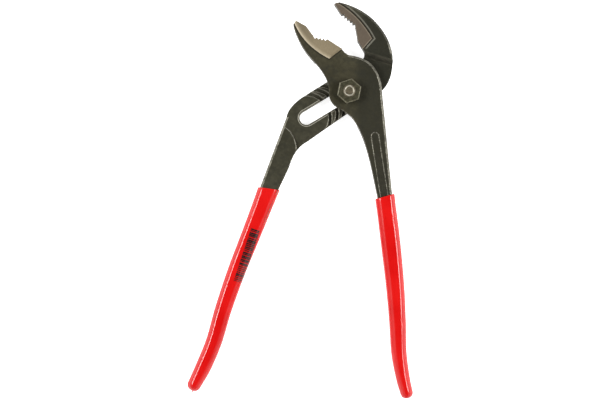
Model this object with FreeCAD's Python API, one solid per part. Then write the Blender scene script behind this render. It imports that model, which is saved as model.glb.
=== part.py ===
import FreeCAD, Part
import math
import os

# Tongue and groove pliers, 250 mm long, lying flat.
# Z = 0 is the underside of the bolt head, the pivot axis is the Z axis, +Y points to the jaws.
# Millimetres throughout.

V = FreeCAD.Vector

# heights of the layers
HEAD_TOP = 2.6
JOINT_Z = 8.6
FACE_GAP = 0.03
TOP_Z = 14.6
NUT_TOP = 20.2
BOLT_TOP = 20.9
NECK_LOW = 4.6
NECK_TOP = 12.6
GRIP_LOW = 3.1
GRIP_TOP = 14.1
GROUND_DEPTH = 1.0
PANEL_DEPTH = 0.6
EDGE_BEVEL = 1.3

# the pivot axis in the drawing frame of the outlines
PIVOT_X = -0.24
PIVOT_Y = -0.43

# slot and grooves of the grooved lever
SLOT_ANGLE = math.radians(31.4)
SLOT_WIDTH = 8.5
SLOT_TRAVEL = 31.8
SLOT_SPARE = 0.1
RIM_WIDTH = 1.1
RIM_DEPTH = 0.7
POSITIONS = 7
GROOVE_RADIUS = 15.3
GROOVE_WIDTH = 2.4
GROOVE_DEPTH = 2.0
GROOVE_SPREAD = 75.0

# tongue of the other lever
TONGUE_WIDTH = 2.0
TONGUE_HEIGHT = 1.8
TONGUE_FROM = 55.0
TONGUE_TO = 89.0

# pivot
HEAD_RADIUS = 8.5
NECK_RADIUS = 4.2
SHANK_RADIUS = 4.0
HOLE_RADIUS = 4.06
NUT_FLATS = 14.0
NUT_TURN = 79.0
NUT_BEVEL = 0.55

# teeth and grips
TOOTH_DEPTH = 1.4
GRIP_WALL = 1.35
GRIP_ROUND = 2.6

SLOT_DIR = V(math.cos(SLOT_ANGLE), math.sin(SLOT_ANGLE), 0)


def outline(start, steps):
    """Closed wire: a step with one point is a line, with two an arc, with more a smooth curve."""
    edges = []
    here = V(start[0] - PIVOT_X, start[1] - PIVOT_Y, 0)
    for step in steps:
        points = [V(x - PIVOT_X, y - PIVOT_Y, 0) for x, y in step]
        if len(points) == 1:
            edges.append(Part.makeLine(here, points[0]))
        elif len(points) == 2:
            edges.append(Part.Arc(here, points[0], points[1]).toShape())
        else:
            curve = Part.BSplineCurve()
            curve.interpolate([here] + points)
            edges.append(curve.toShape())
        here = points[-1]
    return Part.Wire(edges)


def slab(wire, low, high):
    """Solid between two heights over a closed wire."""
    base = Part.Face(wire)
    base.translate(V(0, 0, low))
    return base.extrude(V(0, 0, high - low))


def polygon(points):
    """Closed wire of straight lines."""
    return outline(points[0], [[p] for p in points[1:]] + [[points[0]]])


def side_block(points, angle, shift=0.0):
    """Long block with a side profile of (distance, height), the distance running along angle."""
    corners = [V(t, -150, z + shift) for t, z in points]
    block = Part.Face(Part.makePolygon(corners + [corners[0]])).extrude(V(0, 300, 0))
    block.rotate(V(0, 0, 0), V(0, 0, 1), angle)
    return block


def ring_sector(centre, radius, width, middle, spread, low, high):
    """Part of a flat ring around a centre, from middle - spread to middle + spread degrees."""
    outer = Part.makeCylinder(radius + width / 2, high - low, V(0, 0, low), V(0, 0, 1), 2 * spread)
    inner = Part.makeCylinder(radius - width / 2, high - low, V(0, 0, low))
    sector = outer.cut(inner)
    sector.rotate(V(0, 0, 0), V(0, 0, 1), middle - spread)
    sector.translate(centre)
    return sector


def obround(radius, low):
    """Outline around the whole travel of the slot."""
    lift = V(0, 0, low)
    right = SLOT_DIR * SLOT_SPARE + lift
    left = SLOT_DIR * (-SLOT_TRAVEL - SLOT_SPARE) + lift
    side = V(-SLOT_DIR.y, SLOT_DIR.x, 0) * radius
    edges = [
        Part.makeLine(left + side, right + side),
        Part.Arc(right + side, right + SLOT_DIR * radius, right - side).toShape(),
        Part.makeLine(right - side, left - side),
        Part.Arc(left - side, left - SLOT_DIR * radius, left + side).toShape(),
    ]
    return Part.Wire(edges)


def slot_tool():
    """The slot right through the arm, with a sloped rim at the top."""
    half = SLOT_WIDTH / 2
    rim = [obround(half, JOINT_Z - RIM_DEPTH), obround(half + RIM_WIDTH, JOINT_Z + 0.01)]
    return slab(obround(half, 0), 0, 20).fuse(Part.makeLoft(rim, True, True))


def bevel(solid, size, wanted):
    """Bevels the edges that wanted accepts."""
    return solid.makeChamfer(size, [e for e in solid.Edges if wanted(e)])


def edge_bevel(points):
    """Tool that bevels an upper edge along points, with the body to the right of the way along."""
    spare = EDGE_BEVEL + 2
    last = len(points) - 1
    sections = []
    for i, edge in enumerate(points):
        along = points[min(i + 1, last)] - points[max(i - 1, 0)]
        inner = V(along.y, -along.x, 0).normalize()
        below = edge - inner * 2 - V(0, 0, spare)
        inside = edge + inner * spare + V(0, 0, 2)
        above = edge - inner * 2 + V(0, 0, 2)
        sections.append(Part.makePolygon([below, inside, above, below]))
    return Part.makeLoft(sections, True, True)


def placed(points):
    """Points (x, y, z) of the drawing frame, moved into the frame of the pivot."""
    return [V(x - PIVOT_X, y - PIVOT_Y, z) for x, y, z in points]


def ground_face(wire, slope):
    """Tools that sink both broad faces of a jaw, with a sloped wall along the border."""
    tool = slab(wire, TOP_Z - GROUND_DEPTH, TOP_Z + 5)
    low_edges = [e for e in tool.Edges if e.BoundBox.ZMax < TOP_Z - GROUND_DEPTH + 0.01]
    upper = tool.makeChamfer(slope, low_edges)
    middle = (TOP_Z + HEAD_TOP) / 2
    return upper.fuse(upper.mirror(V(0, 0, middle), V(0, 0, 1)))


def teeth(first, last, count):
    """Notches of a jaw, side by side along the line of the peaks from first to last."""
    start, end = placed([(first[0], first[1], 0), (last[0], last[1], 0)])
    along = end - start
    pitch = along.Length / count
    along.normalize()
    inward = V(along.y, -along.x, 0)
    notches = []
    for i in range(count):
        middle = start + along * (pitch * (i + 0.5))
        corners = [
            middle - along * pitch * 0.5 - inward,
            middle - along * pitch * 0.5,
            middle + inward * TOOTH_DEPTH,
            middle + along * pitch * 0.5,
            middle + along * pitch * 0.5 - inward,
        ]
        face = Part.Face(Part.makePolygon(corners + [corners[0]]))
        face.translate(V(0, 0, HEAD_TOP - 1))
        notches.append(face.extrude(V(0, 0, TOP_Z + 2)))
    return notches


def handle(stations, narrower):
    """Handle outline along stations of (x, y, width), each side a smooth curve, with a round tip."""
    points = [V(x - PIVOT_X, y - PIVOT_Y, 0) for x, y, w in stations]
    curve = Part.BSplineCurve()
    curve.interpolate(points)
    left = []
    right = []
    for point, station in zip(points, stations):
        along = curve.tangent(curve.parameter(point))[0]
        side = V(along.y, -along.x, 0) * (station[2] / 2 - narrower)
        left.append(point - side)
        right.append(point + side)
    last_along = curve.tangent(curve.LastParameter)[0]
    tip = points[-1] + last_along * (stations[-1][2] / 2 - narrower)
    one = Part.BSplineCurve()
    one.interpolate(left)
    two = Part.BSplineCurve()
    two.interpolate(right[::-1])
    edges = [
        one.toShape(),
        Part.Arc(left[-1], tip, right[-1]).toShape(),
        two.toShape(),
        Part.makeLine(right[0], left[0]),
    ]
    return Part.Wire(edges)


def soft_slab(wire, low, high, rounding):
    """Handle solid with its long edges and tip rounded; the mouth edges stay square."""
    solid = slab(wire, low, high)
    mouth = solid.Faces[3].CenterOfMass
    chosen = []
    for edge in solid.Edges:
        flat = edge.BoundBox.ZLength < 0.01
        at_mouth = edge.CenterOfMass.sub(V(mouth.x, mouth.y, edge.CenterOfMass.z)).Length < 0.1
        if flat and not at_mouth:
            chosen.append(edge)
    return solid.makeFillet(rounding, chosen)


# (x, y, width) down the middle of each handle
GROOVED_HANDLE = [
    (-51.5, -62.5, 13.4), (-63.0, -92.0, 12.4), (-72.5, -116.0, 11.6), (-80.8, -140.0, 10.9),
    (-86.6, -160.0, 10.5), (-93.3, -176.2, 10.2), (-99.3, -188.0, 8.8),
]
TONGUE_HANDLE = [
    (22.9, -67.5, 12.4), (26.45, -96.0, 12.6), (29.4, -124.0, 11.8), (31.05, -148.0, 10.8),
    (31.95, -168.0, 9.9), (34.5, -184.0, 8.9), (36.8, -193.2, 8.1),
]


def outer_jaw(edge):
    """True on the upper and lower edges along the back of the jaw of the plain grooved slab."""
    return edge.BoundBox.ZLength < 0.01 and edge.Length > 60 and edge.CenterOfMass.x > 5


def tongue_lever():
    """Upper lever: left jaw, round boss over the joint, arc tongue below it, right handle."""
    shape = outline((-34.2, 45.2), [
        [(-27.6, 41.4)],
        [(-25.0, 37.8), (-22.6, 34.8)],
        [(-14.1, 33.1)],
        [(-5.0, 27.2)],
        [(-3.0, 24.5), (-0.6, 23.0)],
        [(5.0, 21.9), (13.4, 17.8), (18.9, 9.6), (20.9, 0.0)],
        [(27.9, -69.5)],
        [(18.5, -69.5)],
        [(14.1, -48.7), (11.0, -36.7), (6.4, -24.7), (1.3, -16.7)],
        [(-4.4, -12.4), (-9.4, -9.4)],
        [(-12.2, -5.4), (-12.9, -1.0)],
        [(-14.6, 7.3), (-19.6, 15.3), (-26.5, 23.3), (-31.6, 31.3), (-35.9, 42.5)],
        [(-34.2, 45.2)],
    ])
    profile = [
        (-70, HEAD_TOP), (-70, TOP_Z), (22, TOP_Z), (40, NECK_TOP), (210, NECK_TOP),
        (210, NECK_LOW), (44, NECK_LOW), (30, HEAD_TOP),
    ]
    lever = slab(shape, HEAD_TOP, TOP_Z)
    core = slab(handle([(20.6, -52.0, 11.0)] + TONGUE_HANDLE, GRIP_WALL), NECK_LOW, NECK_TOP)
    lever = lever.fuse(core).common(side_block(profile, -90))
    lap = polygon([
        (-1.9, 24.5), (-3.6, 19.2), (-6.4, 14.7), (-22.0, 18.2), (-40.0, 18.2), (-40.0, -30.0),
        (3.0, -27.0), (5.3, -22.4), (7.5, -15.4), (23.5, -18.2), (40.0, -18.2), (40.0, 30.0),
        (0.0, 30.0),
    ])
    lever = lever.cut(slab(lap, 0, JOINT_Z + FACE_GAP))
    boss = Part.BSplineCurve()
    boss.interpolate(placed([
        (-0.6, 23.0, TOP_Z), (5.0, 21.9, TOP_Z), (13.4, 17.8, TOP_Z), (18.9, 9.6, TOP_Z),
        (20.9, 0.0, TOP_Z),
    ]))
    neck = placed([(23.1, -22.1, TOP_Z), (24.95, -40.2, NECK_TOP), (27.5, -66.0, NECK_TOP)])
    lever = lever.cut(edge_bevel(boss.discretize(15) + neck))
    ground = outline((-40.0, 48.0), [
        [(-34.6, 42.0)],
        [(-32.0, 36.8), (-26.0, 29.7), (-18.0, 23.4), (-13.0, 20.4)],
        [(-5.0, 26.5)],
        [(-3.0, 34.0)],
        [(-20.0, 50.0)],
        [(-40.0, 48.0)],
    ])
    lever = lever.cut(ground_face(ground, 0.9))
    floor = side_block(profile, -90, -PANEL_DEPTH)
    panel = outline((13.9, -29.5), [
        [(15.6, -26.6), (18.9, -28.6)],
        [(25.0, -68.0)],
        [(20.0, -68.0)],
        [(13.9, -29.5)],
    ])
    lever = lever.cut(slab(panel, 8, 20).cut(floor))
    lever = lever.cut(Part.makeCylinder(HOLE_RADIUS, 30))
    tongue = ring_sector(
        V(0, 0, 0), GROOVE_RADIUS, TONGUE_WIDTH, (TONGUE_FROM + TONGUE_TO) / 2,
        (TONGUE_TO - TONGUE_FROM) / 2, JOINT_Z + FACE_GAP - TONGUE_HEIGHT, JOINT_Z + 2,
    )
    lever = lever.fuse(tongue)
    return lever.cut(teeth((-22.9, 34.85), (-14.1, 33.1), 4)).removeSplitter()


def grooved_lever():
    """Lower lever: hooked right jaw, slotted arm with the row of grooves, left handle."""
    shape = outline((-9.7, 55.9), [
        [(-4.9, 48.66)],
        [(3.9, 41.1)],
        [(4.8, 36.5), (5.5, 31.8)],
        [(8.9, 26.4)],
        [(9.9, 23.4), (8.2, 20.4)],
        [(6.8, 19.1)],
        [(-24.8, -0.3)],
        [(-30.4, -4.0), (-37.0, -9.8), (-40.4, -16.8)],
        [(-58.6, -65.4)],
        [(-46.9, -66.4)],
        [(-38.5, -48.7)],
        [(-35.5, -41.0), (-32.3, -36.4), (-27.0, -32.3)],
        [(-4.0, -16.2)],
        [(21.5, 0.7)],
        [(26.0, 7.7), (27.8, 16.0), (26.7, 27.5), (21.6, 38.2), (12.6, 48.0), (1.6, 54.3),
         (-6.2, 56.8)],
        [(-9.7, 55.9)],
    ])
    neck_angle = -110.65
    profile = [
        (-90, HEAD_TOP), (-90, TOP_Z), (30, TOP_Z), (36, JOINT_Z + 0.2), (52, NECK_TOP),
        (210, NECK_TOP), (210, NECK_LOW), (56, NECK_LOW), (42, HEAD_TOP),
    ]
    lever = bevel(slab(shape, HEAD_TOP, TOP_Z), EDGE_BEVEL, outer_jaw)
    core = slab(handle([(-48.0, -52.5, 12.5)] + GROOVED_HANDLE, GRIP_WALL), NECK_LOW, NECK_TOP)
    lever = lever.fuse(core).common(side_block(profile, neck_angle))
    lap = outline((60.0, 60.0), [
        [(-60.0, 60.0)],
        [(-60.0, -21.4)],
        [(-42.6, -22.6)],
        [(-37.4, -26.5), (-34.6, -33.0), (-33.8, -41.0)],
        [(-33.8, -60.0)],
        [(60.0, -60.0)],
        [(60.0, 60.0)],
    ])
    ramp = [
        (-140, JOINT_Z - FACE_GAP), (23.7, JOINT_Z - FACE_GAP), (24.6, 9.3), (26.4, 12.7),
        (27.7, 14.1), (30.0, TOP_Z), (30.5, TOP_Z + 9), (-140, TOP_Z + 9),
    ]
    lever = lever.cut(slab(lap, 0, 40).common(side_block(ramp, 73.3)))
    lever = lever.cut(edge_bevel(placed([
        (-57.9, -63.5, NECK_TOP), (-48.2, -37.7, NECK_TOP), (-42.6, -22.7, 8.7), (-40.2, -16.3, 8.6),
    ])))
    ground = outline((-6.5, 56.2), [
        [(-3.5, 54.7)],
        [(2.0, 50.6), (6.0, 46.7), (10.0, 41.8), (15.6, 33.4)],
        [(9.2, 26.3)],
        [(0.0, 26.0)],
        [(-14.0, 50.0)],
        [(-14.0, 58.0)],
        [(-6.5, 56.2)],
    ])
    lever = lever.cut(ground_face(ground, 0.9))
    lever = lever.cut(slot_tool())
    for i in range(POSITIONS):
        centre = SLOT_DIR * (-i * SLOT_TRAVEL / (POSITIONS - 1))
        groove = ring_sector(
            centre, GROOVE_RADIUS, GROOVE_WIDTH, math.degrees(SLOT_ANGLE), GROOVE_SPREAD,
            JOINT_Z - FACE_GAP - GROOVE_DEPTH, JOINT_Z + 0.5,
        )
        lever = lever.cut(groove)
    return lever.cut(teeth((3.9, 41.1), (-4.9, 48.66), 5)).removeSplitter()


def bolt():
    """Flat round head, neck that slides in the slot, shank through the boss, peened end."""
    head = Part.makeCylinder(HEAD_RADIUS, HEAD_TOP - FACE_GAP)
    head = head.makeChamfer(0.6, [head.Edges[2]])
    neck = Part.makeCylinder(NECK_RADIUS, JOINT_Z - 0.05)
    shank = Part.makeCylinder(SHANK_RADIUS, BOLT_TOP)
    shank = shank.makeChamfer(0.4, [shank.Edges[0]])
    dimple = Part.makeCone(2.3, 2.8, 0.5, V(0, 0, BOLT_TOP - 0.5))
    return head.fuse([neck, shank]).cut(dimple).removeSplitter()


def nut():
    """Hexagon nut with its upper corners chamfered."""
    radius = NUT_FLATS / math.sqrt(3)
    corners = []
    for i in range(6):
        angle = math.radians(NUT_TURN + 60 * i)
        corners.append(V(radius * math.cos(angle), radius * math.sin(angle), 0))
    low = TOP_Z + FACE_GAP
    hexagon = slab(Part.makePolygon(corners + [corners[0]]), low, NUT_TOP)
    hexagon = bevel(hexagon, NUT_BEVEL, lambda edge: edge.BoundBox.ZMin > NUT_TOP - 0.01)
    return hexagon.cut(Part.makeCylinder(SHANK_RADIUS, 30)).removeSplitter()


def grip(stations, lever):
    """Dipped sleeve around a handle, its inside taken from the lever."""
    return soft_slab(handle(stations, 0), GRIP_LOW, GRIP_TOP, GRIP_ROUND).cut(lever)


os.makedirs("parts", exist_ok=True)

grooved = grooved_lever()
grooved.exportStep("parts/grooved_lever.step")

tongued = tongue_lever()
tongued.exportStep("parts/tongue_lever.step")

bolt().exportStep("parts/pivot_bolt.step")
nut().exportStep("parts/hex_nut.step")

grip(GROOVED_HANDLE, grooved).exportStep("parts/grip_grooved.step")
grip(TONGUE_HANDLE, tongued).exportStep("parts/grip_tongue.step")
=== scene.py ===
import math

import bmesh
import bpy
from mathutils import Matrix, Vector

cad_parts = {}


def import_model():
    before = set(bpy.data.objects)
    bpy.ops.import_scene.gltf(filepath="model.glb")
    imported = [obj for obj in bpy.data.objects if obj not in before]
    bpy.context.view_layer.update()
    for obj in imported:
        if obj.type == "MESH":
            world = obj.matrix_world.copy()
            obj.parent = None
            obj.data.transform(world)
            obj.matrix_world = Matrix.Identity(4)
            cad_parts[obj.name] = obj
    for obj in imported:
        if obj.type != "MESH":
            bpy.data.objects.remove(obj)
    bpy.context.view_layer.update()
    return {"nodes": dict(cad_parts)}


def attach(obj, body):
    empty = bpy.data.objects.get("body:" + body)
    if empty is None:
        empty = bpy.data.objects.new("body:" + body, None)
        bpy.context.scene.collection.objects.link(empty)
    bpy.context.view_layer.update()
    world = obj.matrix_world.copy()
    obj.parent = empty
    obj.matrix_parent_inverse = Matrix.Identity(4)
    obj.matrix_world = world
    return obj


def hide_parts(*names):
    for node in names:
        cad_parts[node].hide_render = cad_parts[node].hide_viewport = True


MM = 0.001
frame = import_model()
nodes = frame["nodes"]

# the pivot axis in the drawing frame of the handles, in millimetres
PIVOT = (-0.24, -0.43)

# (x, y, width) down the middle of each handle, in millimetres, as in the CAD model
GROOVED_HANDLE = [
    (-51.5, -62.5, 13.4), (-63.0, -92.0, 12.4), (-72.5, -116.0, 11.6), (-80.8, -140.0, 10.9),
    (-86.6, -160.0, 10.5), (-93.3, -176.2, 10.2), (-99.3, -188.0, 8.8),
]
TONGUE_HANDLE = [
    (22.9, -67.5, 12.4), (26.45, -96.0, 12.6), (29.4, -124.0, 11.8), (31.05, -148.0, 10.8),
    (31.95, -168.0, 9.9), (34.5, -184.0, 8.9), (36.8, -193.2, 8.1),
]
MIDDLE_Z = 8.6
HALF_HEIGHT = 5.45

# the slot and the grooves, as in the CAD model
SLOT_ANGLE = math.radians(31.4)
SLOT_DIR = (math.cos(SLOT_ANGLE), math.sin(SLOT_ANGLE), 0.0)
SLOT_TRAVEL = 31.8
POSITIONS = 7
GROOVE_RADIUS = 15.3

# where each jaw's ground face ends, about the pivot: a circle (x, y, radius) along its back,
# and a straight edge (its normal's x and y, and how far out along it)
GROOVED_BORDER = (-37.26, 5.67, 60.06, 0.743, -0.669, -10.87)
TONGUE_BORDER = (6.18, 61.79, 45.02, 0.606, -0.795, -24.29)

# the camera looks straight down on the plane of the upper faces
VIEW_HEIGHT = 1.0
VIEW_WIDTH = 0.384
VIEW_PLANE = 0.012
VIEW_CENTRE = (-0.0313, -0.0693)


# ---------------------------------------------------------------- node helpers

class Nodes:
    """Small helper that adds and links shader nodes."""

    def __init__(self, name):
        self.material = bpy.data.materials.new(name)
        self.material.use_nodes = True
        self.tree = self.material.node_tree
        self.tree.nodes.clear()
        self.out = self.tree.nodes.new("ShaderNodeOutputMaterial")
        self.shader = self.tree.nodes.new("ShaderNodeBsdfPrincipled")
        self.tree.links.new(self.shader.outputs[0], self.out.inputs[0])
        self.coords = self.tree.nodes.new("ShaderNodeTexCoord")

    def link(self, value, socket):
        if isinstance(value, bpy.types.NodeSocket):
            self.tree.links.new(value, socket)
        elif value is not None:
            socket.default_value = value

    def math(self, kind, a, b=None, c=None, clamp=False):
        node = self.tree.nodes.new("ShaderNodeMath")
        node.operation = kind
        node.use_clamp = clamp
        for value, socket in zip((a, b, c), node.inputs):
            self.link(value, socket)
        return node.outputs[0]

    def vector(self, kind, a, b=None):
        node = self.tree.nodes.new("ShaderNodeVectorMath")
        node.operation = kind
        self.link(a, node.inputs[0])
        self.link(b, node.inputs[1])
        return node.outputs["Value"] if kind in ("DOT_PRODUCT", "LENGTH") else node.outputs[0]

    def split(self, vector):
        node = self.tree.nodes.new("ShaderNodeSeparateXYZ")
        self.link(vector, node.inputs[0])
        return node.outputs

    def ramp(self, value, low, high, to_low=0.0, to_high=1.0):
        """A smooth step from to_low to to_high as value goes from low to high."""
        node = self.tree.nodes.new("ShaderNodeMapRange")
        node.interpolation_type = "SMOOTHSTEP"
        for item, socket in zip((value, low, high, to_low, to_high), node.inputs):
            self.link(item, socket)
        return node.outputs[0]

    def mix(self, share, a, b):
        node = self.tree.nodes.new("ShaderNodeMix")
        node.data_type = "RGBA"
        self.link(share, node.inputs[0])
        self.link(a, node.inputs[6])
        self.link(b, node.inputs[7])
        return node.outputs[2]

    def noise(self, scale, detail=4.0, rough=0.55, vector=None, stretch=None):
        """Noise over the object's own coordinates; scale is in features per metre."""
        place = vector or self.coords.outputs["Object"]
        if stretch:
            place = self.vector("MULTIPLY", place, stretch)
        node = self.tree.nodes.new("ShaderNodeTexNoise")
        self.link(place, node.inputs["Vector"])
        node.inputs["Scale"].default_value = scale
        node.inputs["Detail"].default_value = detail
        node.inputs["Roughness"].default_value = rough
        return node.outputs[0]

    def bump(self, height, distance, strength=1.0, normal=None):
        node = self.tree.nodes.new("ShaderNodeBump")
        node.inputs["Strength"].default_value = strength
        node.inputs["Distance"].default_value = distance
        self.link(height, node.inputs["Height"])
        self.link(normal, node.inputs["Normal"])
        return node.outputs[0]

    def set(self, **values):
        names = {
            "color": "Base Color", "metallic": "Metallic", "roughness": "Roughness",
            "normal": "Normal", "specular": "Specular IOR Level", "coat": "Coat Weight",
            "coat_roughness": "Coat Roughness", "ior": "IOR",
        }
        for key, value in values.items():
            self.link(value, self.shader.inputs[names[key]])
        return self.material


def band(n, value, low, high, soft):
    """1 while value is between low and high, with soft sides."""
    rise = n.ramp(value, low - soft, low + soft)
    return n.math("MULTIPLY", rise, n.ramp(value, high + soft, high - soft))


def ridges(n):
    """Thin rounded edges and broad bevels, told apart by how far each facet leans from flat."""
    geometry = n.tree.nodes.new("ShaderNodeNewGeometry")
    turn = n.tree.nodes.new("ShaderNodeVectorTransform")
    turn.vector_type = "NORMAL"
    turn.convert_from = "WORLD"
    turn.convert_to = "OBJECT"
    n.link(geometry.outputs["True Normal"], turn.inputs[0])
    lean = n.math("ABSOLUTE", n.split(turn.outputs[0])[2])
    thin = n.math("MAXIMUM", band(n, lean, 0.42, 0.79, 0.06), band(n, lean, 0.88, 0.955, 0.012))
    broad = band(n, lean, 0.64, 0.77, 0.04)
    return n.math("MULTIPLY", thin, n.ramp(broad, 0.0, 1.0, 1.0, 0.42))


def arm_lines(n, place):
    """Thin bright lines, from wear and painted highlight, along both edges of the slot's rim and of
    the grooves across the arm.
    """
    point = n.vector("MULTIPLY", n.coords.outputs["Object"], (1.0, 1.0, 0.0))
    along = n.vector("DOT_PRODUCT", point, SLOT_DIR)
    held = n.math("MINIMUM", n.math("MAXIMUM", along, -SLOT_TRAVEL * MM), 0.0)
    scaled = n.tree.nodes.new("ShaderNodeVectorMath")
    scaled.operation = "SCALE"
    scaled.inputs[0].default_value = SLOT_DIR
    n.link(held, scaled.inputs["Scale"])
    gap = n.vector("LENGTH", n.vector("SUBTRACT", point, scaled.outputs[0]))
    inner = band(n, gap, 4.15 * MM, 4.6 * MM, 0.06 * MM)
    outer = band(n, gap, 5.2 * MM, 5.65 * MM, 0.06 * MM)
    lines = n.math("MAXIMUM", inner, outer)
    lines = n.math("MULTIPLY", lines, n.ramp(along, -13.0 * MM, -18.0 * MM, 0.25, 1.0))
    for i in range(POSITIONS):
        centre = tuple(-i * SLOT_TRAVEL / (POSITIONS - 1) * MM * c for c in SLOT_DIR)
        away = n.vector("SUBTRACT", point, centre)
        radius = n.vector("LENGTH", away)
        wall = n.math("ABSOLUTE", n.math("SUBTRACT", radius, GROOVE_RADIUS * MM))
        forward = n.vector("DOT_PRODUCT", away, SLOT_DIR)
        ahead = n.math("GREATER_THAN", forward, 0.27 * GROOVE_RADIUS * MM)
        groove = n.math("MULTIPLY", band(n, wall, 1.15 * MM, 1.5 * MM, 0.06 * MM), ahead)
        lines = n.math("MAXIMUM", lines, n.math("MULTIPLY", groove, 0.42))
    level = band(n, place[2], 7.7 * MM, 8.62 * MM, 0.04 * MM)
    return n.math("MULTIPLY", lines, level)


def scaled_color(color, share):
    """The color, lighter or darker, still opaque."""
    return tuple(share * c for c in color[:3]) + (1,)


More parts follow.
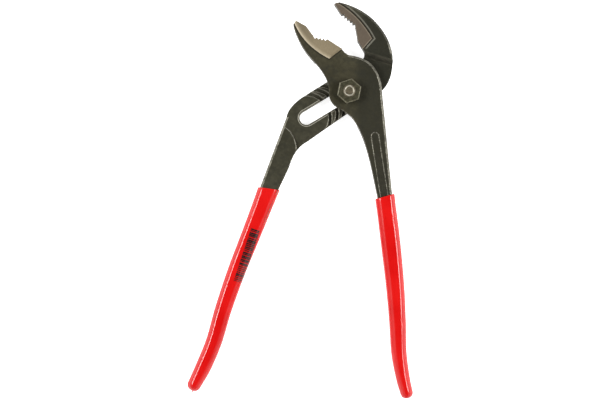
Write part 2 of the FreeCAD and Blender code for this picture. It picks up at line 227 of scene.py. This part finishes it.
def forged_steel(name, dark, light, ground_color, ground_low, shadow, quiet, border, arm):
    """Black phosphated forging, bright along its edges from wear and painted highlight, with bare
    ground faces on the jaw.

    ground_low is the lowest y of the ground faces, and border is where they end; a painted highlight
    runs just inside that border and painted shade along the wall at it.
    shadow is a patch painted darker as shade (x from, to, y from, to), and quiet a strip (angle,
    from, to, x limit) whose edges get little or none of the bright edge colour, so no painted
    highlight there.
    arm adds the bright slot and groove lines of the grooved arm (wear and painted highlight), a
    painted light tone on its sloped ramp and a painted highlight on its jaw rim. All in millimetres."""
    n = Nodes(name)
    place = n.split(n.coords.outputs["Object"])
    up = n.split(n.coords.outputs["Normal"])[2]
    facing = n.math("ABSOLUTE", up)
    above = n.math("ABSOLUTE", n.math("SUBTRACT", place[2], MIDDLE_Z * MM))
    flat = n.vector("MULTIPLY", n.coords.outputs["Object"], (1.0, 1.0, 0.0))
    centre_x, centre_y, radius, normal_x, normal_y, limit = border
    reach = n.vector("LENGTH", n.vector("SUBTRACT", flat, (centre_x * MM, centre_y * MM, 0.0)))
    curve = n.math("SUBTRACT", reach, radius * MM)
    across = n.vector("DOT_PRODUCT", flat, (normal_x, normal_y, 0.0))
    straight = n.math("SUBTRACT", across, limit * MM)
    outside = n.math("MAXIMUM", curve, straight)
    ground = n.math("MULTIPLY", n.ramp(facing, 0.55, 0.65), n.ramp(above, 5.95 * MM, 5.8 * MM))
    wall = (-0.8, -0.95) if arm else (0.05, -0.15)
    ground = n.math("MULTIPLY", ground, n.ramp(outside, wall[0] * MM, wall[1] * MM))
    ground = n.math("MULTIPLY", ground, n.ramp(above, 4.7 * MM, 4.8 * MM))
    ground = n.math("MULTIPLY", ground,
                    n.ramp(place[1], ground_low * MM, (ground_low + 0.5) * MM))
    panel = n.math("MULTIPLY", n.ramp(above, 3.62 * MM, 3.5 * MM), n.ramp(up, 0.9, 0.97))
    panel = n.math("MULTIPLY", panel, n.ramp(place[1], -38 * MM, -41 * MM))
    shaded = n.math("MULTIPLY", band(n, place[0], shadow[0] * MM, shadow[1] * MM, 3 * MM),
                    band(n, place[1], shadow[2] * MM, shadow[3] * MM, 5 * MM))
    angle, first, last, side = quiet
    heading = (math.cos(angle), math.sin(angle), 0)
    run = n.vector("DOT_PRODUCT", n.coords.outputs["Object"], heading)
    # edges in this strip get little or none of the bright edge colour: no painted highlight there
    no_highlight_strip = n.math("MULTIPLY", band(n, run, first * MM, last * MM, 0.4 * MM),
                  n.ramp(place[0], (side + 0.5) * MM, (side - 0.5) * MM))

    patches = n.noise(60, 3)
    scale = n.noise(420, 5, 0.65)
    grain = n.noise(2600, 4, 0.7)
    stipple = n.noise(1100, 2, 0.5)
    tone = n.math("ADD", n.math("MULTIPLY", patches, 0.55), n.math("MULTIPLY", scale, 0.45))
    oxide_and_painted_light = n.mix(n.ramp(tone, 0.38, 0.64), dark, light)
    # painted shadow: over the shadow patch the colour is mixed towards near black
    shade = n.math("MULTIPLY", shaded, 0.78 if arm else 0.66)
    oxide_and_painted_light = n.mix(shade, oxide_and_painted_light, (0.004, 0.005, 0.004, 1))
    if arm:
        ground = n.math("MULTIPLY", ground, n.ramp(run, 27.6 * MM, 27.9 * MM))
        ground = n.math("MULTIPLY", ground, n.ramp(above, 5.55 * MM, 5.45 * MM))
        # painted light: the sloped ramp behind the boss gets a lighter olive grey of its own than
        # the painted shadow around it
        sloped = n.math("MULTIPLY", band(n, run, 23.5 * MM, 29.5 * MM, 1.0 * MM),
                        n.ramp(facing, 0.97, 0.8))
        oxide_and_painted_light = n.mix(n.math("MULTIPLY", sloped, 0.7), oxide_and_painted_light, (0.045, 0.042, 0.031, 1))
    oxide_and_painted_light = n.mix(n.math("MULTIPLY", panel, 0.45), oxide_and_painted_light, (0.005, 0.005, 0.004, 1))
    stained = n.ramp(n.noise(230, 4, 0.65), 0.46, 0.62, 0.0, 0.4)
    oxide_and_painted_light = n.mix(stained, oxide_and_painted_light, (0.007, 0.008, 0.007, 1))
    # bright edge colour on rounded edges, picked by how far each facet leans: partly edge wear,
    # partly painted highlight
    edge = n.math("MULTIPLY", ridges(n), n.ramp(scale, 0.34, 0.58, 0.25, 1.0))
    edge = n.math("MULTIPLY", edge, n.ramp(no_highlight_strip, 0.0, 1.0, 1.0, 0.0 if arm else 0.12))
    if arm:
        # slot rim and groove lines: partly wear, partly painted highlight
        slot_lines_wear_and_highlight = n.math("MULTIPLY", arm_lines(n, place), n.ramp(scale, 0.34, 0.58, 0.6, 1.0))
        edge = n.math("MAXIMUM", edge, slot_lines_wear_and_highlight)
        # painted highlight along the top of the wall around the ground face
        rim_highlight = n.math("MULTIPLY", band(n, outside, 0.2 * MM, 1.0 * MM, 0.15 * MM),
                        n.ramp(facing, 0.85, 0.95))
        rim_highlight = n.math("MULTIPLY", rim_highlight, n.ramp(run, 29.0 * MM, 29.6 * MM))
        edge = n.math("MULTIPLY", edge, n.ramp(run, 38.0 * MM, 34.0 * MM, 0.15, 1.0))
        edge = n.math("MAXIMUM", edge, n.math("MULTIPLY", rim_highlight, 0.3))
    wear_and_highlight = n.mix(edge, oxide_and_painted_light, (0.34, 0.325, 0.27, 1))

    lines = n.noise(900, 3, 0.6, stretch=(6.0, 0.5, 1.0))
    blotch = n.noise(110, 3)
    bare = n.mix(n.ramp(blotch, 0.3, 0.7), ground_color, scaled_color(ground_color, 0.86))
    bare = n.mix(n.ramp(lines, 0.35, 0.7, 0.0, 0.3), bare, scaled_color(ground_color, 1.5))
    # painted highlight just inside the ground face's border, and painted shade along the wall at it
    if arm:
        border_highlight = n.ramp(outside, -1.7 * MM, -1.1 * MM, 0.0, 0.16)
        wall_shade = band(n, outside, -0.82 * MM, 0.0, 0.08 * MM)
    else:
        bare = n.mix(n.ramp(place[1], 27 * MM, 43 * MM, 0.0, 0.28), bare, (0.06, 0.05, 0.035, 1))
        border_highlight = n.math("ADD", n.ramp(curve, -3.0 * MM, -0.3 * MM, 0.0, 0.34),
                       n.ramp(curve, -1.3 * MM, -0.4 * MM, 0.0, 0.42))
        wall_shade = band(n, outside, 0.05 * MM, 0.7 * MM, 0.1 * MM)
    bare = n.mix(border_highlight, bare, (0.62, 0.54, 0.40, 1))
    color = n.mix(ground, wear_and_highlight, bare)
    upper = n.math("MULTIPLY", n.ramp(above, 4.9 * MM, 5.0 * MM), n.ramp(facing, 0.4, 0.5))
    wall_shade = n.math("MULTIPLY", wall_shade, upper)
    wall_shade = n.math("MULTIPLY", wall_shade,
                    n.ramp(place[1], (ground_low + 3.0) * MM, (ground_low + 3.5) * MM))
    # painted shade: the wall around the ground face is darkened almost to black
    color = n.mix(n.math("MULTIPLY", wall_shade, 0.9), color, (0.003, 0.002, 0.001, 1))
    metal = n.math("MAXIMUM", n.math("MULTIPLY", edge, 0.5), n.math("MULTIPLY", ground, 0.45))
    rough = n.ramp(grain, 0.3, 0.7, 0.42, 0.58)
    rough = n.math("SUBTRACT", rough, n.math("MULTIPLY", edge, 0.12))
    fine = n.bump(grain, 0.05 * MM, 0.5)
    waves = n.bump(scale, 0.35 * MM, 0.35, fine)
    pits = n.bump(n.math("MULTIPLY", stipple, panel), 0.5 * MM, 0.7, waves)
    streaks = n.bump(lines, 0.05 * MM, 0.6)
    pick = n.tree.nodes.new("ShaderNodeMix")
    pick.data_type = "VECTOR"
    n.link(ground, pick.inputs[0])
    n.link(pits, pick.inputs[4])
    n.link(streaks, pick.inputs[5])
    n.shader.inputs["Specular Tint"].default_value = (1.0, 0.93, 0.68, 1)
    return n.set(color=color, metallic=metal, roughness=rough, normal=pick.outputs[1], specular=0.30)


def turned_steel(name, base, bright, scale, ring):
    """Bolt and nut steel: a scuffed dark coat with bright edges, from wear and painted highlight;
    the bolt has a bright peened ring.
    """
    n = Nodes(name)
    patches = n.noise(scale, 4, 0.6)
    grain = n.noise(3000, 3, 0.6)
    # bright edge colour: partly edge wear, partly painted highlight
    edge = n.math("MULTIPLY", ridges(n), n.ramp(patches, 0.3, 0.6, 0.4, 1.0))
    if ring:
        place = n.split(n.coords.outputs["Object"])
        edge = n.math("MULTIPLY", edge, n.ramp(place[2], 15 * MM, 14 * MM))
        squares = n.math("ADD", n.math("POWER", place[0], 2.0), n.math("POWER", place[1], 2.0))
        radius = n.math("SQRT", squares)
        uneven = n.math("MULTIPLY", n.math("SUBTRACT", n.noise(500, 2), 0.5), 1.3 * MM)
        radius = n.math("ADD", radius, uneven)
        peened = n.math("MULTIPLY", band(n, radius, 2.5 * MM, 3.25 * MM, 0.15 * MM),
                        n.ramp(place[2], 15 * MM, 16 * MM))
        dented = n.ramp(n.noise(330, 2), 0.38, 0.58, 0.3, 0.9)
        edge = n.math("MAXIMUM", edge, n.math("MULTIPLY", peened, dented))
    tone = n.mix(n.ramp(patches, 0.35, 0.65), base, scaled_color(base, 1.6))
    color = n.mix(edge, tone, bright)
    metal = n.ramp(edge, 0.0, 1.0, 0.35, 0.9)
    rough = n.ramp(patches, 0.3, 0.7, 0.38, 0.52)
    normal = n.bump(grain, 0.04 * MM, 0.5, n.bump(patches, 0.15 * MM, 0.4))
    return n.set(color=color, metallic=metal, roughness=rough, normal=normal, specular=0.4)


def dipped_plastic(name, bars=None):
    """Glossy red dipped PVC, slightly uneven, with an optional row of printed bars."""
    n = Nodes(name)
    patches = n.noise(45, 3)
    peel = n.noise(700, 2, 0.4)
    color = n.mix(n.ramp(patches, 0.35, 0.65), (0.44, 0.002, 0.0016, 1), (0.50, 0.004, 0.003, 1))
    rough = n.ramp(patches, 0.3, 0.7, 0.16, 0.24)
    if bars:
        ink = printed_bars(n, *bars)
        color = n.mix(ink, color, (0.004, 0.003, 0.003, 1))
        rough = n.math("ADD", rough, n.math("MULTIPLY", ink, 0.12))
    normal = n.bump(peel, 0.03 * MM, 0.35)
    return n.set(color=color, roughness=rough, normal=normal,
                 specular=0.32, coat=0.12, coat_roughness=0.08)


def printed_bars(n, start, end, width):
    """Random bars across the handle between two points: a plain stripe print with no code in it."""
    a = Vector(((start[0] - PIVOT[0]) * MM, (start[1] - PIVOT[1]) * MM, 0))
    b = Vector(((end[0] - PIVOT[0]) * MM, (end[1] - PIVOT[1]) * MM, 0))
    along = (b - a).normalized()
    across = Vector((-along.y, along.x, 0))
    place = n.vector("SUBTRACT", n.coords.outputs["Object"], tuple(a))
    run = n.vector("DOT_PRODUCT", place, tuple(along))
    side = n.math("ABSOLUTE", n.vector("DOT_PRODUCT", place, tuple(across)))
    length = (b - a).length
    inside = n.math("MULTIPLY", n.math("GREATER_THAN", run, 0.0), n.math("LESS_THAN", run, length))
    inside = n.math("MULTIPLY", inside, n.math("LESS_THAN", side, width / 2 * MM))
    up = n.split(n.coords.outputs["Normal"])[2]
    inside = n.math("MULTIPLY", inside, n.math("GREATER_THAN", up, 0.3))
    cell = n.tree.nodes.new("ShaderNodeTexWhiteNoise")
    cell.noise_dimensions = "1D"
    steps = n.math("DIVIDE", run, 1.2 * MM)
    n.link(n.math("FLOOR", steps), cell.inputs["W"])
    share = n.ramp(cell.outputs[0], 0.0, 1.0, 0.55, 0.95)
    bar = n.math("LESS_THAN", n.math("FRACT", steps), share)
    smear = n.ramp(n.noise(1500, 3), 0.2, 0.36)
    return n.math("MULTIPLY", n.math("MULTIPLY", bar, inside), smear)


# ---------------------------------------------------------------- shapes

def catmull(points, share):
    """Point at share 0 to 1 on a smooth curve through points."""
    last = len(points) - 1
    spot = min(max(share * last, 0.0), last - 1e-9)
    i = int(spot)
    t = spot - i
    p1, p2 = points[i], points[i + 1]
    p0 = points[i - 1] if i > 0 else [2 * a - b for a, b in zip(p1, p2)]
    p3 = points[i + 2] if i + 2 <= last else [2 * b - a for a, b in zip(p1, p2)]
    return [
        0.5 * (2 * b + (c - a) * t + (2 * a - 5 * b + 4 * c - d) * t * t
               + (3 * b - a - 3 * c + d) * t ** 3)
        for a, b, c, d in zip(p0, p1, p2, p3)
    ]


def grip_section(w, h, outer):
    """Points around a grip of half width w and half height h, with sloped shoulders.

    outer is the side, 1 or -1, with the crisper shoulder."""
    shoulder = 2.7
    low = 2.6

    def side(sign, crisp):
        soft = 0.9 if crisp else 1.2
        top = Vector((sign * (w - shoulder), h))
        slope = (Vector((sign * w, low)) - top).normalized()
        return [
            Vector((sign * w, -low / 2)), Vector((sign * w, low / 2)),
            Vector((sign * w, low - 0.5)), Vector((sign * (w - 0.35), low + 0.35)),
            top + slope * soft * 1.6, top + slope * soft * 0.6,
            top + Vector((-sign * soft * 0.6, 0)), top + Vector((-sign * soft * 1.6, 0)),
        ]

    right = side(1, outer > 0)
    left = side(-1, outer < 0)
    upper = right + left[::-1]
    lower = [Vector((p.x, -p.y)) for p in upper[::-1] if abs(p.y) > low / 2 + 0.01]
    return upper + lower


def loft_grip(name, stations, outer, mouth_tilt, nib):
    """Dipped sleeve over a handle: lipped mouth, long soft body, rounded tip.

    nib is how far (x, y) the small drip sits from the tip's middle, or None."""
    mesh = bmesh.new()
    count = 90
    rings = []
    for i in range(count + 1):
        share = i / count
        x, y, w = catmull(stations, share)
        ahead = catmull(stations, min(share + 0.004, 1.0))
        behind = catmull(stations, max(share - 0.004, 0.0))
        along = Vector((ahead[0] - behind[0], ahead[1] - behind[1])).normalized()
        flare = 0.2 * max(0.0, 1 - share / 0.07) ** 2
        rings.append((Vector((x, y)), along, w / 2 + flare, HALF_HEIGHT, share))
    tip_centre, tip_along, tip_half, tip_height, _ = rings[-1]
    for i in range(1, 9):
        angle = i / 8.6 * math.pi / 2
        centre = tip_centre + tip_along * tip_half * math.sin(angle)
        shrink = math.cos(angle) ** 0.92
        height = tip_height * (0.35 + 0.65 * shrink) * shrink ** 0.35
        rings.append((centre, tip_along, tip_half * shrink, height, 1.0))
    if nib:
        for reach, half in ((0.35, 0.8), (0.95, 0.6), (1.25, 0.25)):
            centre = tip_centre + tip_along * (tip_half + reach) + Vector(nib)
            rings.append((centre, tip_along, half, half, 1.0))
    # the mouth: an inner wall, a rolled lip, then the body
    first_centre, first_along, first_half, first_height, _ = rings[0]
    mouth = [(1.6, 1.30), (0.25, 1.30), (-0.12, 0.95), (-0.2, 0.55), (-0.05, 0.2), (0.3, 0.02)]
    layers = []
    for depth, inset in mouth:
        centre = first_centre + first_along * depth
        layers.append((centre, first_along, first_half - inset, first_height - inset, 0.0))
    layers += rings[1:]
    loops = []
    for centre, along, half, height, share in layers:
        across = Vector((-along.y, along.x))
        loop = []
        full = half > 3.2
        for p in grip_section(half, height, outer) if full else small_section(half, height):
            spot = centre + across * p.x
            if share < 0.08:
                spot = spot + along * (p.x * mouth_tilt * (1 - share / 0.08))
            x = (spot.x - PIVOT[0]) * MM
            y = (spot.y - PIVOT[1]) * MM
            loop.append(mesh.verts.new((x, y, (MIDDLE_Z + p.y) * MM)))
        loops.append(loop)
    for a, b in zip(loops, loops[1:]):
        for i in range(len(a)):
            j = (i + 1) % len(a)
            mesh.faces.new((a[i], a[j], b[j], b[i]))
    mesh.faces.new(loops[-1])
    mesh.faces.new(loops[0][::-1])
    bmesh.ops.recalc_face_normals(mesh, faces=mesh.faces)
    data = bpy.data.meshes.new(name)
    mesh.to_mesh(data)
    mesh.free()
    for face in data.polygons:
        face.use_smooth = True
    piece = bpy.data.objects.new(name, data)
    bpy.context.scene.collection.objects.link(piece)
    return piece


def small_section(half, height):
    """A full section shrunk to size, for the tip, where the shoulders run together."""
    full = grip_section(6.0, HALF_HEIGHT, 1)
    return [Vector((p.x / 6.0 * half, p.y / HALF_HEIGHT * height)) for p in full]


def soften(piece, voxel, rounds, keep):
    """Rounds a solid's edges slightly, as forging and finishing do."""
    weld = piece.modifiers.new("weld", "WELD")
    weld.merge_threshold = 0.002 * MM
    remesh = piece.modifiers.new("remesh", "REMESH")
    remesh.mode = "VOXEL"
    remesh.voxel_size = voxel * MM
    remesh.use_smooth_shade = True
    smooth = piece.modifiers.new("smooth", "SMOOTH")
    smooth.factor = 0.5
    smooth.iterations = rounds
    thin = piece.modifiers.new("thin", "DECIMATE")
    thin.ratio = keep


def use_material(piece, material):
    """Gives a new piece its only material."""
    piece.data.materials.clear()
    piece.data.materials.append(material)


def on_node(piece, material):
    """Gives a CAD node the material in each of its slots."""
    for slot in piece.material_slots:
        slot.material = material


soften(nodes["grooved_lever"], 0.19, 3, 0.22)
soften(nodes["tongue_lever"], 0.19, 3, 0.24)
soften(nodes["hex_nut"], 0.16, 3, 0.4)
soften(nodes["pivot_bolt"], 0.16, 3, 0.4)

# the two jaws' ground faces are the same bare steel: the grooved jaw's darker brownish grey and the
# tongue jaw's lighter tan are painted reflection
on_node(nodes["grooved_lever"], forged_steel(
    "phosphate_grooved", (0.016, 0.0155, 0.0095, 1), (0.030, 0.0285, 0.019, 1),
    (0.098, 0.077, 0.058, 1), 20.0, (9, 50, -40, 90), (math.radians(73.3), 22.5, 31.0, 40),
    GROOVED_BORDER, True))
on_node(nodes["tongue_lever"], forged_steel(
    "phosphate_tongue", (0.017, 0.0155, 0.0085, 1), (0.032, 0.029, 0.0165, 1),
    (0.20, 0.163, 0.104, 1), 15.0, (5, 60, -90, 40), (math.pi, 5.0, 60.0, 40),
    TONGUE_BORDER, False))
on_node(nodes["hex_nut"], turned_steel(
    "nut_oxide", (0.027, 0.025, 0.012, 1), (0.30, 0.28, 0.20, 1), 500, False))
on_node(nodes["pivot_bolt"], turned_steel(
    "bolt_oxide", (0.060, 0.050, 0.030, 1), (0.60, 0.57, 0.47, 1), 900, True))

left = loft_grip("dipped_grip_grooved", GROOVED_HANDLE, -1, -0.24, (1.1, 0.1))
use_material(left, dipped_plastic("red_dip_printed", ((-60.0, -88.6), (-71.2, -122.0), 5.8)))
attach(left, "grooved_side")
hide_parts("grip_grooved")

right = loft_grip("dipped_grip_tongue", TONGUE_HANDLE, 1, -0.15, None)
use_material(right, dipped_plastic("red_dip"))
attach(right, "tongue_side")
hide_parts("grip_tongue")
for piece in (left, right):
    sub = piece.modifiers.new("subdivision", "SUBSURF")
    sub.levels = 2
    sub.render_levels = 2


# ---------------------------------------------------------------- studio

def floor():
    """Bright white sweep under the pliers."""
    data = bpy.data.meshes.new("studio_floor")
    s = 3.0
    data.from_pydata([(-s, -s, 0), (s, -s, 0), (s, s, 0), (-s, s, 0)], [], [(0, 1, 2, 3)])
    piece = bpy.data.objects.new("studio_floor", data)
    piece.location.z = -0.0001
    bpy.context.scene.collection.objects.link(piece)
    n = Nodes("floor_white")
    tone = n.mix(n.ramp(n.noise(8, 2), 0.3, 0.7), (0.90, 0.90, 0.90, 1), (0.93, 0.93, 0.93, 1))
    n.shader.inputs["Emission Color"].default_value = (1, 1, 1, 1)
    n.shader.inputs["Emission Strength"].default_value = 0.8
    use_material(piece, n.set(color=tone, roughness=0.9, specular=0.2))


def area(name, place, target, size, power):
    """A square softbox that points at target."""
    data = bpy.data.lights.new(name, "AREA")
    data.shape = "RECTANGLE"
    data.size = size
    data.size_y = size
    data.energy = power
    lamp = bpy.data.objects.new(name, data)
    lamp.location = place
    direction = Vector(target) - Vector(place)
    lamp.rotation_euler = direction.to_track_quat("-Z", "Y").to_euler()
    bpy.context.scene.collection.objects.link(lamp)


def world():
    """White surroundings, darker straight overhead and towards the jaws and the grip ends."""
    bpy.context.scene.world = bpy.data.worlds.new("studio")
    bpy.context.scene.world.use_nodes = True
    tree = bpy.context.scene.world.node_tree
    background = tree.nodes["Background"]
    coords = tree.nodes.new("ShaderNodeTexCoord")
    split = tree.nodes.new("ShaderNodeSeparateXYZ")
    shade = tree.nodes.new("ShaderNodeMapRange")
    shade.interpolation_type = "SMOOTHSTEP"
    shade.inputs["From Min"].default_value = 0.55
    shade.inputs["From Max"].default_value = 0.98
    shade.inputs["To Min"].default_value = 0.95
    shade.inputs["To Max"].default_value = 0.22
    tree.links.new(coords.outputs["Generated"], split.inputs[0])
    tree.links.new(split.outputs[2], shade.inputs["Value"])
    across = tree.nodes.new("ShaderNodeMath")
    across.operation = "ABSOLUTE"
    tree.links.new(split.outputs[0], across.inputs[0])
    sides = tree.nodes.new("ShaderNodeMapRange")
    sides.interpolation_type = "SMOOTHSTEP"
    sides.inputs["From Min"].default_value = 0.1
    sides.inputs["From Max"].default_value = 0.85
    sides.inputs["To Min"].default_value = 0.5
    sides.inputs["To Max"].default_value = 1.25
    tree.links.new(across.outputs[0], sides.inputs["Value"])
    both = tree.nodes.new("ShaderNodeMath")
    both.operation = "MULTIPLY"
    tree.links.new(shade.outputs[0], both.inputs[0])
    tree.links.new(sides.outputs[0], both.inputs[1])
    tree.links.new(both.outputs[0], background.inputs["Strength"])
    background.inputs["Color"].default_value = (1, 1, 1, 1)


def camera():
    """Straight down on the middle of the pliers."""
    data = bpy.data.cameras.new("camera")
    data.sensor_width = 36.0
    data.lens = data.sensor_width * VIEW_HEIGHT / VIEW_WIDTH
    eye = bpy.data.objects.new("camera", data)
    eye.location = VIEW_CENTRE + (VIEW_HEIGHT + VIEW_PLANE,)
    bpy.context.scene.collection.objects.link(eye)
    bpy.context.scene.camera = eye


floor()
world()
area("left_softbox", (-0.75, 0.05, 0.75), (-0.03, -0.07, 0), 0.35, 9)
area("right_softbox", (0.70, -0.05, 0.75), (-0.03, -0.07, 0), 0.35, 9)
camera()
bpy.context.scene.view_settings.view_transform = "Standard"
